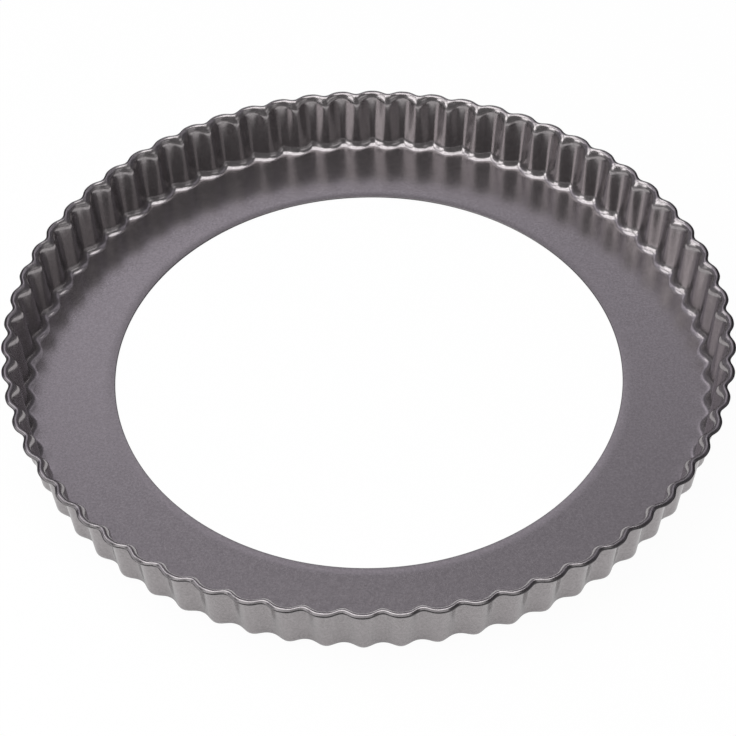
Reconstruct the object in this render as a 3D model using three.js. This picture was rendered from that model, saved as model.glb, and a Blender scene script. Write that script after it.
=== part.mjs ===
// Fluted loose-base tart pan: the pressed ring, with its loose base lying beside it.
// Sizes are in mm, +Z up.
import * as THREE from 'three';

// Overall sizes
const rimDiameter = 300;        // across the lip, from lobe to lobe
const panHeight = 28;           // table to the top of the lip
const sheetThickness = 0.7;     // coated steel sheet, the same for both pieces
const fluteCount = 64;
const fluteTurn = 4.1;          // degrees from +X to the first lobe
const rimDip = 2.15;            // how far the lip edge draws in between two lobes
const lobeBreadth = 0.18;       // 0 is a plain sine wave; more gives broad lobes and narrow ridges
const flangeWidth = 32.55;      // flat flange between the cut-out and the inward ridges' foot curve
const brimRadius = 4;           // curve of the lip's outer part, from its crest down to its edge
const brimDroop = 18;           // degrees that the brim turns down past level at its edge

// The wall through an outward lobe and through an inward ridge, measured at the sheet's middle
const lobeShape = {
  footInset: 9.2,               // lip edge to where the flat flange ends and the foot curve starts
  footRadius: 4,
  lipReach: 1.7,                // how far the rolled lip comes out from the wall to its crest
  lipRise: 3.4,                 // height of wall that the rolled lip takes up
};
const ridgeShape = {
  footInset: 8.9,
  footRadius: 3.2,
  lipReach: 2.3,
  lipRise: 5.2,
};

// The loose base
const baseClearance = 1.2;      // between the base's edge and the start of the foot curve
const baseGap = 12;             // between the lip and the base that lies beside the ring

// Mesh fineness
const ringTriangles = 12600;    // most triangles to spend on the ring
const footSteps = 2;
const lipSteps = 2;             // from the wall up to the level crest; the brim takes one more
const baseSegments = 128;
const baseEdgeSteps = 4;
const wallAttempts = 12;

// Sizes that follow from the ones above
const rimRadius = rimDiameter / 2;
const dipRadius = rimRadius - rimDip;
const footStart = Math.min(rimRadius - lobeShape.footInset, dipRadius - ridgeShape.footInset);
const cutoutRadius = footStart - flangeWidth;
const baseRadius = footStart - baseClearance;

const coating = { color: 0x4f4b4e, roughness: 0.36, metalness: 0.85 };

// The middle line of the sheet, as points with the direction the line runs in.
// x is the distance from the ring's axis and y the height.
function wallSection(edgeRadius, shape) {
  const middle = sheetThickness / 2;
  const droop = THREE.MathUtils.degToRad(brimDroop);
  const crest = new THREE.Vector2(edgeRadius - brimRadius * Math.sin(droop), panHeight - middle);
  const foot = {
    centre: new THREE.Vector2(edgeRadius - shape.footInset, middle + shape.footRadius),
    reach: -shape.footRadius,
    rise: -shape.footRadius,
  };
  const lip = {
    centre: new THREE.Vector2(crest.x, crest.y - shape.lipRise),
    reach: shape.lipReach,
    rise: shape.lipRise,
  };
  const brim = {
    centre: new THREE.Vector2(crest.x, crest.y - brimRadius),
    reach: brimRadius,
    rise: brimRadius,
  };

  // The straight wall touches both curves: each try takes the angle of the line between their
  // touching points, and the tries soon agree.
  let wallAngle = Math.PI / 2;
  for (let attempt = 0; attempt < wallAttempts; attempt += 1) {
    wallAngle = bendPoint(lip, wallAngle).at.sub(bendPoint(foot, wallAngle).at).angle();
  }

  const points = [{ at: new THREE.Vector2(cutoutRadius, middle), along: new THREE.Vector2(1, 0) }];
  for (let step = 0; step <= footSteps; step += 1) {
    points.push(bendPoint(foot, (wallAngle * step) / footSteps));
  }
  for (let step = 0; step <= lipSteps; step += 1) {
    points.push(bendPoint(lip, wallAngle * (1 - step / lipSteps)));
  }
  points.push(bendPoint(brim, -droop));
  return points;
}

// The point of an elliptical bend where the sheet runs at the given angle above level.
// The sheet passes over the centre of the bend, or under it where reach and rise are negative.
function bendPoint(bend, angle) {
  const along = new THREE.Vector2(Math.cos(angle), Math.sin(angle));
  const turn = Math.atan2(Math.abs(bend.reach) * along.y, Math.abs(bend.rise) * along.x);
  const offset = new THREE.Vector2(-bend.reach * Math.sin(turn), bend.rise * Math.cos(turn));
  return { at: offset.add(bend.centre), along };
}

// How far the wall stands out at an angle round the ring: 1 on a lobe, 0 on a ridge.
function standOut(angle) {
  const phase = fluteCount * angle;
  return (1 + Math.cos(phase)) / 2 + (lobeBreadth / 2) * (1 - Math.cos(2 * phase));
}

function standOutSlope(angle) {
  const phase = fluteCount * angle;
  return fluteCount * (-Math.sin(phase) / 2 + lobeBreadth * Math.sin(2 * phase));
}

// One point on the sheet's inner (side = 1) or outer (side = -1) skin.
// The skin lies half a sheet from the middle line, square to the fluted wall.
function skinPoint(lobe, ridge, angle, side) {
  const share = standOut(angle);
  const at = ridge.at.clone().lerp(lobe.at, share);
  const along = ridge.along.clone().lerp(lobe.along, share);
  const change = lobe.at.clone().sub(ridge.at).multiplyScalar(standOutSlope(angle));
  const square = new THREE.Vector3(
    -along.y * at.x,
    along.y * change.x - along.x * change.y,
    along.x * at.x,
  ).setLength((side * sheetThickness) / 2);
  const point = new THREE.Vector3(at.x + square.x, square.y, at.y + square.z);
  const turn = angle + THREE.MathUtils.degToRad(fluteTurn);
  return point.applyAxisAngle(new THREE.Vector3(0, 0, 1), turn);
}

// The ring as one closed skin: each column runs out along the outer skin and back along the inner one.
function fluteRing(lobeSection, ridgeSection) {
  const rows = lobeSection.length;
  const loop = 2 * rows;
  const columnsPerFlute = Math.floor(ringTriangles / (2 * loop * fluteCount));
  const columns = columnsPerFlute * fluteCount;
  const positions = [];
  const index = [];
  for (let column = 0; column < columns; column += 1) {
    const angle = (2 * Math.PI * column) / columns;
    const next = (column + 1) % columns;
    for (let k = 0; k < loop; k += 1) {
      const row = k < rows ? k : loop - 1 - k;
      const side = k < rows ? -1 : 1;
      positions.push(...skinPoint(lobeSection[row], ridgeSection[row], angle, side));
      const here = column * loop + k;
      const across = next * loop + k;
      const up = column * loop + ((k + 1) % loop);
      const acrossUp = next * loop + ((k + 1) % loop);
      index.push(here, across, acrossUp, here, acrossUp, up);
    }
  }
  const geometry = new THREE.BufferGeometry();
  geometry.setAttribute('position', new THREE.Float32BufferAttribute(positions, 3));
  geometry.setIndex(index);
  geometry.computeVertexNormals();
  return geometry;
}

// A flat disc with a rounded edge, standing on z = 0.
function baseDisc(radius) {
  const round = sheetThickness / 2;
  const profile = [new THREE.Vector2(0, 0)];
  for (let step = 0; step <= baseEdgeSteps; step += 1) {
    const angle = -Math.PI / 2 + (Math.PI * step) / baseEdgeSteps;
    const across = radius - round + round * Math.cos(angle);
    profile.push(new THREE.Vector2(across, round + round * Math.sin(angle)));
  }
  profile.push(new THREE.Vector2(0, sheetThickness));
  const geometry = new THREE.LatheGeometry(profile, baseSegments);
  geometry.rotateX(Math.PI / 2);
  return geometry;
}

function piece(name, geometry) {
  const mesh = new THREE.Mesh(geometry, new THREE.MeshStandardMaterial(coating));
  mesh.name = name;
  return mesh;
}

const lobeSection = wallSection(rimRadius, lobeShape);
const ridgeSection = wallSection(dipRadius, ridgeShape);
const ring = piece('fluted_ring', fluteRing(lobeSection, ridgeSection));
const base = piece('loose_base', baseDisc(baseRadius));
base.position.x = rimRadius + baseGap + baseRadius;

// The frame's origin is under the middle of the two pieces together.
const pan = new THREE.Group();
pan.name = 'tart_pan';
pan.add(ring, base);
const middle = new THREE.Box3().setFromObject(pan).getCenter(new THREE.Vector3());
ring.position.x -= middle.x;
base.position.x -= middle.x;

export default pan;
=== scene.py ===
"""Looks of the fluted loose-base tart pan: the coated ring as photographed, with its base beside it."""
import math

import bpy
import numpy as np
from mathutils import Matrix, Vector


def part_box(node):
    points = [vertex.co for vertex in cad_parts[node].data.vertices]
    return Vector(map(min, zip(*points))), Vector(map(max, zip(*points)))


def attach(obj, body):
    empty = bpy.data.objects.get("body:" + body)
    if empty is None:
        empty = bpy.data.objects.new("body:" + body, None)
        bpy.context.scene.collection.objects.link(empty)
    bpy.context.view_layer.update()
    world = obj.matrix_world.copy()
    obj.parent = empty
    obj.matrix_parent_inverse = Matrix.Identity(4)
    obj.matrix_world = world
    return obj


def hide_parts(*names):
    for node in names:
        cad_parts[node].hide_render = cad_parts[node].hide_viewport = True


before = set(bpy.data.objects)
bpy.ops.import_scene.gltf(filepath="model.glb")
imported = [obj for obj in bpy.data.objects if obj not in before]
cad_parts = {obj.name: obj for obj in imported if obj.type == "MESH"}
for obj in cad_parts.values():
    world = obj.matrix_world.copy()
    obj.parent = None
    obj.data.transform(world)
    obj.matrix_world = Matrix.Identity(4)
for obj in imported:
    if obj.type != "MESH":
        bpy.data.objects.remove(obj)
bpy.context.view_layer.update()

MM = 0.001

# Sizes of the pressed sheet
SHEET = 0.7 * MM
HEIGHT = 28 * MM
RIM_RADIUS = 150 * MM
RIM_DIP = 2.15 * MM                   # how far the lip's edge draws in between two lobes
CUTOUT_RADIUS = 106.4 * MM
FLUTES = 64
FLUTE_TURN = math.radians(4.1)        # from +X to the first lobe
LIP_BREADTH = 0.18                    # 0 is a plain sine wave; more gives broader lobes
FOOT_BREADTH = -0.12                  # the same at the table; below 0 gives narrower lobes

# The brim outside the lip's crest: a tight bend, then a short straight droop
BRIM_BEND = 0.45 * MM
BRIM_LENGTH = 1.0 * MM
BRIM_DROOP = math.radians(22)

# The wall through a lobe and through a ridge. The foot's curve starts at the inset from the lip's edge,
# and the lip's curve meets the brim at an angle above level.
LOBE = {
    "foot_inset": 9.6 * MM,
    "foot_radius": 4.8 * MM,
    "lip_reach": 1.7 * MM,
    "lip_rise": 3.4 * MM,
    "lip_end": 0.0,
}
RIDGE = {
    "foot_inset": 9.4 * MM,
    "foot_radius": 4.2 * MM,
    "lip_reach": 6.0 * MM,
    "lip_rise": 6.0 * MM,
    "lip_end": math.radians(35),
}

# Mesh fineness
COLUMNS_PER_FLUTE = 16
FLANGE_STEPS = 8
FOOT_STEPS = 10
WALL_STEPS = 8
LIP_STEPS = 12
BRIM_STEPS = 6
EDGE_STEPS = 6
PAINTED_SHADE_ROWS = 6                         # rows on top of the brim that share the cut edge's dark colour, as painted shade along the lip's outer edge
BASE_COLUMNS = 256
BASE_RINGS = (0.25, 0.5, 0.75, 0.95)  # shares of the base's radius where its flat faces are divided
WALL_ATTEMPTS = 12

# The coating: linear colours, and each noise as cells per metre and detail
COATING_METALLIC = 0.9
FLAKE_DARK = (0.258, 0.240, 0.244, 1)
FLAKE_LIGHT = (0.326, 0.305, 0.310, 1)
# Dark colour of the cut edges, also used as painted shade on the brim's top rows
EDGE_AND_PAINTED_SHADE_COLOUR = (0.10, 0.094, 0.096, 1)
ROUGHNESS = (0.19, 0.24)
FLAKE_NOISE = (1100, 2)
GLOSS_NOISE = (500, 3)
PEEL_NOISE = (900, 2)
PEEL_DEPTH = 0.03 * MM
PEEL_STRENGTH = 0.3
NOISE_RANGE = (0.3, 0.7)              # where most of a noise's values lie

# The white table
TABLE_SIZE = 6
TABLE_DROP = 0.2 * MM                 # the table's top lies this far under the pan
TABLE_COLOUR = (0.92, 0.92, 0.92, 1)
TABLE_PLAIN_SHARE = 0.97              # plain white in what the camera sees; the rest is lit and shadowed
SHADOW_REACH = 60 * MM                # how far from the pan the table darkens in reflections
SHADOW_OPENNESS = (0.1, 0.55)
SHADOW_BRIGHTNESS = (0.1, 1.0)

# The studio: greys over the height of a direction, behind the table and in front of it
BEHIND_GREYS = [(0.0, 0.25), (0.3, 0.15), (0.55, 0.2), (0.63, 0.7), (0.67, 0.9), (0.71, 0.84),
                (0.76, 0.44), (0.83, 0.33), (1.0, 0.33)]
FRONT_GREYS = [(0.0, 0.3), (0.3, 0.15), (0.5, 0.22), (0.75, 0.16), (1.0, 0.25)]
FRONT_TO_BEHIND = (-0.25, 0.25)       # where along Y the front turns into the wall behind
WALL_TINT = (0.99, 0.95, 1.06)
WALL_ENDS = (-0.3, 0.3)               # where along X the wall's brightness changes
WALL_BRIGHTNESS = (1.4, 0.7)
WHITE = (1, 1, 1, 1)

# The soft lights: name, place seen from the ring's centre, width, height and radiance
SOFTBOXES = [
    ("top light", (-0.07, 0.0, 1.0), 0.74, 0.84, 2.6),
    ("key light", (-0.44, -0.32, 0.95), 0.36, 0.36, 1.5),
    ("left light", (-0.80, -0.45, 0.45), 0.5, 0.28, 3.4),
    ("upper left light", (-0.76, -0.41, 0.72), 0.5, 0.3, 2.0),
    ("side light", (-0.75, 0.0, 0.75), 0.7, 0.38, 1.8),
    ("right light", (0.74, -0.52, 0.68), 0.7, 0.35, 0.8),
    ("low left light", (-0.95, -0.60, 0.2), 0.8, 0.35, 0.6),
    ("low right light", (0.95, -0.60, 0.2), 0.8, 0.35, 0.4),
]

# The photograph's camera, from a fit to the rim and the cut-out, seen from the ring's centre
CAMERA_DISTANCE = 0.8263
CAMERA_ELEVATION = math.radians(46.80)
CAMERA_ROLL = math.radians(-1.067)
CAMERA_TARGET = Vector((-0.29, -1.22, 0.7)) * MM
CAMERA_LENS = 96.1
CAMERA_SENSOR = 36.0

# Sockets of a Mix node that blends colours
MIX_FACTOR = 0
MIX_FIRST = 6
MIX_SECOND = 7
MIX_RESULT = 2

# Places that come from the frame
ring_low, ring_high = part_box("fluted_ring")
base_low, base_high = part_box("loose_base")
RING_CENTRE = Vector(((ring_low[0] + ring_high[0]) / 2, (ring_low[1] + ring_high[1]) / 2, 0))
BASE_CENTRE = Vector(((base_low[0] + base_high[0]) / 2, (base_low[1] + base_high[1]) / 2, 0))
BASE_RADIUS = (base_high[0] - base_low[0]) / 2


# Shape of the ring

def bend(centre, reach, rise, angles):
    """Points of an elliptical bend where the sheet runs at the given angles above level."""
    angles = np.atleast_1d(angles)
    turn = np.arctan2(abs(reach) * np.sin(angles), abs(rise) * np.cos(angles))
    offset = np.column_stack([-reach * np.sin(turn), rise * np.cos(turn)])
    return centre + offset


def straight(start, end, steps):
    """Points from start towards end, without the end itself."""
    share = np.arange(steps)[:, None] / steps
    return start + (end - start) * share


def wall_slope(foot_centre, foot_radius, lip_centre, reach, rise):
    """The angle of the straight wall that touches the foot's curve and the lip's curve.

    Each try takes the angle of the line between the touching points, and the tries soon agree.
    """
    slope = math.pi / 2
    for _ in range(WALL_ATTEMPTS):
        touch_foot = bend(foot_centre, -foot_radius, -foot_radius, slope)[0]
        touch_lip = bend(lip_centre, reach, rise, slope)[0]
        slope = math.atan2(touch_lip[1] - touch_foot[1], touch_lip[0] - touch_foot[0])
    return slope


def wall_section(edge_radius, shape):
    """The middle line of the sheet from the cut-out to the lip, as (radius, height) points."""
    middle = SHEET / 2
    foot_radius = shape["foot_radius"]
    reach = shape["lip_reach"]
    rise = shape["lip_rise"]
    lip_end = shape["lip_end"]

    brim_reach = BRIM_BEND * math.sin(BRIM_DROOP) + BRIM_LENGTH * math.cos(BRIM_DROOP)
    brim_centre = np.array([edge_radius - middle - brim_reach, HEIGHT - middle - BRIM_BEND])
    brim_start = bend(brim_centre, BRIM_BEND, BRIM_BEND, lip_end)[0]
    lip_centre = brim_start - bend(np.zeros(2), reach, rise, lip_end)[0]
    foot_centre = np.array([edge_radius - shape["foot_inset"], middle + foot_radius])
    slope = wall_slope(foot_centre, foot_radius, lip_centre, reach, rise)

    foot = bend(foot_centre, -foot_radius, -foot_radius, np.linspace(0, slope, FOOT_STEPS + 1))
    lip = bend(lip_centre, reach, rise, np.linspace(slope, lip_end, LIP_STEPS + 1))
    brim_angles = np.linspace(lip_end, -BRIM_DROOP, BRIM_STEPS + 1)[1:]
    brim_bend = bend(brim_centre, BRIM_BEND, BRIM_BEND, brim_angles)
    brim_fall = np.array([math.cos(BRIM_DROOP), -math.sin(BRIM_DROOP)])
    brim_end = brim_bend[-1] + BRIM_LENGTH * brim_fall

    flange = straight(np.array([CUTOUT_RADIUS + middle, middle]), foot[0], FLANGE_STEPS)
    wall = straight(foot[-1], lip[0], WALL_STEPS)[1:]
    brim = straight(brim_bend[-1], brim_end, BRIM_STEPS)[1:]
    return np.vstack([flange, foot, wall, lip, brim_bend, brim, brim_end])


def flute_share(angles, heights):
    """1 where the wall stands out in a lobe, 0 where it comes in to a ridge.

    The lobes are broad at the lip and narrow at the foot.
    """
    phase = FLUTES * angles
    breadth = FOOT_BREADTH + (LIP_BREADTH - FOOT_BREADTH) * heights / HEIGHT
    return (1 + np.cos(phase)) / 2 + breadth / 2 * (1 - np.cos(2 * phase))


def sheet_middle():
    """The ring's middle surface as rows of points, from the cut-out's edge out to the lip's edge."""
    lobe = wall_section(RIM_RADIUS, LOBE)[:, None, :]
    ridge = wall_section(RIM_RADIUS - RIM_DIP, RIDGE)[:, None, :]
    columns = FLUTES * COLUMNS_PER_FLUTE
    angles = np.arange(columns) * 2 * math.pi / columns
    share = flute_share(angles[None, :, None], lobe[:, :, 1:])
    radius, height = np.moveaxis(ridge + (lobe - ridge) * share, 2, 0)
    turned = angles + FLUTE_TURN
    return np.stack([radius * np.cos(turned), radius * np.sin(turned), height], axis=2)


def surface_normals(points):
    """Directions square to the middle surface, pointing to the inside of the pan."""
    along = np.gradient(points, axis=0)
    around = np.roll(points, -1, axis=1) - np.roll(points, 1, axis=1)
    square = np.cross(along, around)
    return square / np.linalg.norm(square, axis=2, keepdims=True)


def rounded_edge(middle_row, neighbour_row, normal_row, sign):
    """Rows of a half circle round a free edge of the sheet, from one skin to the other."""
    outward = middle_row - neighbour_row
    outward /= np.linalg.norm(outward, axis=1, keepdims=True)
    rows = []
    for step in range(1, EDGE_STEPS):
        angle = math.pi * step / EDGE_STEPS
        around = sign * math.cos(angle) * normal_row + math.sin(angle) * outward
        rows.append(middle_row + SHEET / 2 * around)
    return rows


def ring_rows():
    """Closed rows round the sheet, each with a mark: 1 on the cut edges and on the brim's top, where dark
    shade is painted, 0 elsewhere.
    """
    middle = sheet_middle()
    normals = surface_normals(middle)
    inside = list(middle + normals * SHEET / 2)
    outside = list(middle - normals * SHEET / 2)
    lip_edge = rounded_edge(middle[-1], middle[-2], normals[-1], 1)
    hole_edge = rounded_edge(middle[0], middle[1], normals[0], -1)
    rows = inside + lip_edge + outside[::-1] + hole_edge
    plain = len(inside) - PAINTED_SHADE_ROWS
    marks = [0] * plain + [1] * (PAINTED_SHADE_ROWS + len(lip_edge)) + [0] * len(outside) + [1] * len(hole_edge)
    return np.array(rows), marks


def smooth_piece(name, points, faces, marks):
    """A smooth mesh object with a mark on each point, which the coating reads."""
    mesh = bpy.data.meshes.new(name)
    mesh.from_pydata(points, [], faces)
    mesh.shade_smooth()
    edge_and_shade_mark = mesh.attributes.new("cut_edge_and_painted_shade", "FLOAT", "POINT")
    edge_and_shade_mark.data.foreach_set("value", np.array(marks, float))
    piece = bpy.data.objects.new(name, mesh)
    bpy.context.collection.objects.link(piece)
    return piece


def ring_mesh(name):
    """The ring as one closed mesh, with each row and each column of points joined end to end."""
    rows, marks = ring_rows()
    row_count, column_count = rows.shape[:2]
    faces = []
    for row in range(row_count):
        following = (row + 1) % row_count
        for column in range(column_count):
            beside = (column + 1) % column_count
            faces.append((row * column_count + column, following * column_count + column,
                          following * column_count + beside, row * column_count + beside))
    points = rows.reshape(-1, 3) + np.array(RING_CENTRE)
    return smooth_piece(name, points.tolist(), faces, np.repeat(marks, column_count))


# Shape of the loose base

def base_profile():
    """Half of the base's outline as (radius, height, mark), from the underside round to the top."""
    round_radius = SHEET / 2
    profile = [(BASE_RADIUS * share, 0, 0) for share in BASE_RINGS]
    for step in range(EDGE_STEPS + 1):
        angle = -math.pi / 2 + math.pi * step / EDGE_STEPS
        radius = BASE_RADIUS - round_radius + round_radius * math.cos(angle)
        mark = 1 if 0 < step < EDGE_STEPS else 0
        profile.append((radius, round_radius + round_radius * math.sin(angle), mark))
    profile += [(BASE_RADIUS * share, SHEET, 0) for share in reversed(BASE_RINGS)]
    return profile


def base_mesh(name):
    """A flat disc with a rounded cut edge, as one closed mesh."""
    points = []
    marks = []
    for radius, height, mark in base_profile():
        for column in range(BASE_COLUMNS):
            angle = 2 * math.pi * column / BASE_COLUMNS
            points.append(BASE_CENTRE + Vector((radius * math.cos(angle), radius * math.sin(angle), height)))
            marks.append(mark)

    last_row = len(points) - BASE_COLUMNS
    faces = []
    for row in range(0, last_row, BASE_COLUMNS):
        for column in range(BASE_COLUMNS):
            beside = (column + 1) % BASE_COLUMNS
            faces.append((row + column, row + beside,
                          row + BASE_COLUMNS + beside, row + BASE_COLUMNS + column))
    faces.append(tuple(reversed(range(BASE_COLUMNS))))
    faces.append(tuple(range(last_row, last_row + BASE_COLUMNS)))
    return smooth_piece(name, points, faces, marks)


# Shader nodes

def feed(tree, value, socket):
    """Sets an input to a plain value, or links another node's output to it."""
    if isinstance(value, bpy.types.NodeSocket):
        tree.links.new(value, socket)
    else:
        socket.default_value = value


def node(tree, kind, **inputs):
    """A new node with some of its inputs fed."""
    made = tree.nodes.new(kind)
    for name, value in inputs.items():
        feed(tree, value, made.inputs[name.replace("_", " ")])
    return made


def combine(tree, kind, operation, first, second):
    """The result of a maths node on two values."""
    made = tree.nodes.new(kind)
    made.operation = operation
    feed(tree, first, made.inputs[0])
    feed(tree, second, made.inputs[1])
    return made.outputs[0]


def remap(tree, value, old_range, new_range):
    """A value moved from one range onto another."""
    made = node(tree, "ShaderNodeMapRange", Value=value, From_Min=old_range[0], From_Max=old_range[1],
                To_Min=new_range[0], To_Max=new_range[1])
    return made.outputs["Result"]


def blend_colours(tree, factor, first, second):
    """A colour between two others."""
    made = tree.nodes.new("ShaderNodeMix")
    made.data_type = "RGBA"
    feed(tree, factor, made.inputs[MIX_FACTOR])
    feed(tree, first, made.inputs[MIX_FIRST])
    feed(tree, second, made.inputs[MIX_SECOND])
    return made.outputs[MIX_RESULT]


def noise(tree, scale, detail):
    """Noise in the object's own space; the scale is in cells per metre."""
    place = tree.nodes.new("ShaderNodeTexCoord")
    made = node(tree, "ShaderNodeTexNoise", Vector=place.outputs["Object"], Scale=scale, Detail=detail)
    return made.outputs["Fac"]


def grey_ramp(tree, value, stops):
    """A ramp of greys over a value, from (place, grey) stops."""
    ramp = node(tree, "ShaderNodeValToRGB", Fac=value)
    elements = ramp.color_ramp.elements
    elements[0].position = stops[0][0]
    elements[1].position = stops[-1][0]
    for place, _ in stops[1:-1]:
        elements.new(place)
    for element, (_, grey) in zip(elements, stops):
        element.color = (grey, grey, grey, 1)
    return ramp.outputs["Color"]


# Materials

def coated_steel():
    """Dark satin non-stick coating: metallic flake, uneven gloss, fine orange peel, darker cut edges and
    painted shade on the brim's top.
    """
    material = bpy.data.materials.new("coated_steel")
    material.use_nodes = True
    tree = material.node_tree
    flake = remap(tree, noise(tree, *FLAKE_NOISE), NOISE_RANGE, (0.0, 1.0))
    grey = blend_colours(tree, flake, FLAKE_DARK, FLAKE_LIGHT)
    # The cut edges' dark colour, which on the brim's top rows is painted shade
    edge_and_shade_mark = tree.nodes.new("ShaderNodeAttribute")
    edge_and_shade_mark.attribute_name = "cut_edge_and_painted_shade"
    colour = blend_colours(tree, edge_and_shade_mark.outputs["Fac"], grey, EDGE_AND_PAINTED_SHADE_COLOUR)
    roughness = remap(tree, noise(tree, *GLOSS_NOISE), NOISE_RANGE, ROUGHNESS)
    peel = node(tree, "ShaderNodeBump", Strength=PEEL_STRENGTH, Distance=PEEL_DEPTH,
                Height=noise(tree, *PEEL_NOISE))

    shader = tree.nodes["Principled BSDF"]
    feed(tree, COATING_METALLIC, shader.inputs["Metallic"])
    feed(tree, colour, shader.inputs["Base Color"])
    feed(tree, roughness, shader.inputs["Roughness"])
    feed(tree, peel.outputs["Normal"], shader.inputs["Normal"])
    return material


def white_table():
    """White to the camera with a trace of the pan's shadow; in reflections it darkens close to the pan."""
    material = bpy.data.materials.new("white_table")
    material.use_nodes = True
    tree = material.node_tree
    tree.nodes.clear()
    path = tree.nodes.new("ShaderNodeLightPath")
    to_camera = path.outputs["Is Camera Ray"]
    openness = node(tree, "ShaderNodeAmbientOcclusion", Distance=SHADOW_REACH)
    shade = remap(tree, openness.outputs["AO"], SHADOW_OPENNESS, SHADOW_BRIGHTNESS)
    brightness = combine(tree, "ShaderNodeMath", "MAXIMUM", to_camera, shade)
    plain = node(tree, "ShaderNodeEmission", Color=WHITE, Strength=brightness)
    lit = node(tree, "ShaderNodeBsdfDiffuse", Color=TABLE_COLOUR)

    camera_share = combine(tree, "ShaderNodeMath", "MULTIPLY", to_camera, TABLE_PLAIN_SHARE)
    plain_share = combine(tree, "ShaderNodeMath", "MAXIMUM", camera_share, path.outputs["Is Glossy Ray"])
    mix = tree.nodes.new("ShaderNodeMixShader")
    for source, socket in zip((plain_share, lit.outputs[0], plain.outputs[0]), mix.inputs):
        tree.links.new(source, socket)
    node(tree, "ShaderNodeOutputMaterial", Surface=mix.outputs[0])
    return material


# Stage, light and camera

def make_floor():
    """A plain white table under both pieces."""
    bpy.ops.mesh.primitive_plane_add(size=TABLE_SIZE, location=(0, 0, -TABLE_DROP))
    floor = bpy.context.object
    floor.name = "floor"
    floor.data.materials.append(white_table())


def make_studio():
    """A soft studio round the table: a pale wall behind it, brighter to the left, and a dark front.

    The camera itself sees plain white.
    """
    world = bpy.data.worlds.new("studio")
    bpy.context.scene.world = world
    world.use_nodes = True
    tree = world.node_tree
    place = tree.nodes.new("ShaderNodeTexCoord")
    axes = node(tree, "ShaderNodeSeparateXYZ", Vector=place.outputs["Generated"])
    in_front = grey_ramp(tree, axes.outputs["Z"], FRONT_GREYS)
    behind = grey_ramp(tree, axes.outputs["Z"], BEHIND_GREYS)
    tinted = combine(tree, "ShaderNodeVectorMath", "MULTIPLY", behind, WALL_TINT)
    across = remap(tree, axes.outputs["X"], WALL_ENDS, WALL_BRIGHTNESS)
    wall = combine(tree, "ShaderNodeVectorMath", "MULTIPLY", tinted, across)
    turn = remap(tree, axes.outputs["Y"], FRONT_TO_BEHIND, (0.0, 1.0))
    surroundings = blend_colours(tree, turn, in_front, wall)

    path = tree.nodes.new("ShaderNodeLightPath")
    seen = blend_colours(tree, path.outputs["Is Camera Ray"], surroundings, WHITE)
    tree.links.new(seen, tree.nodes["Background"].inputs["Color"])


def make_softbox(name, place, width, height, radiance):
    """A rectangular soft light that faces the ring; the place is seen from the ring's centre."""
    light = bpy.data.lights.new(name, "AREA")
    light.shape = "RECTANGLE"
    light.size = width
    light.size_y = height
    light.energy = radiance * math.pi * width * height
    lamp = bpy.data.objects.new(name, light)
    bpy.context.collection.objects.link(lamp)
    lamp.location = RING_CENTRE + Vector(place)
    lamp.rotation_euler = (-Vector(place)).to_track_quat("-Z", "Y").to_euler()


def make_camera():
    """The photograph's viewpoint over the ring."""
    back = Vector((0, -math.cos(CAMERA_ELEVATION), math.sin(CAMERA_ELEVATION)))
    level_up = Vector((0, math.sin(CAMERA_ELEVATION), math.cos(CAMERA_ELEVATION)))
    level_right = Vector((1, 0, 0))
    right = level_right * math.cos(CAMERA_ROLL) + level_up * math.sin(CAMERA_ROLL)
    up = level_up * math.cos(CAMERA_ROLL) - level_right * math.sin(CAMERA_ROLL)
    data = bpy.data.cameras.new("camera")
    data.lens = CAMERA_LENS
    data.sensor_width = CAMERA_SENSOR
    camera = bpy.data.objects.new("camera", data)
    bpy.context.collection.objects.link(camera)
    axes = Matrix((right, up, back)).transposed().to_4x4()
    axes.translation = RING_CENTRE + CAMERA_TARGET + back * CAMERA_DISTANCE
    camera.matrix_world = axes
    bpy.context.scene.camera = camera


make_camera()
make_floor()
make_studio()
for softbox in SOFTBOXES:
    make_softbox(*softbox)
bpy.context.scene.view_settings.view_transform = "Standard"

steel = coated_steel()
ring = ring_mesh("ring_sheet")
base = base_mesh("base_sheet")
for piece, body, cad_node in ((ring, "ring", "fluted_ring"), (base, "base", "loose_base")):
    piece.data.materials.append(steel)
    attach(piece, body)
    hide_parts(cad_node)
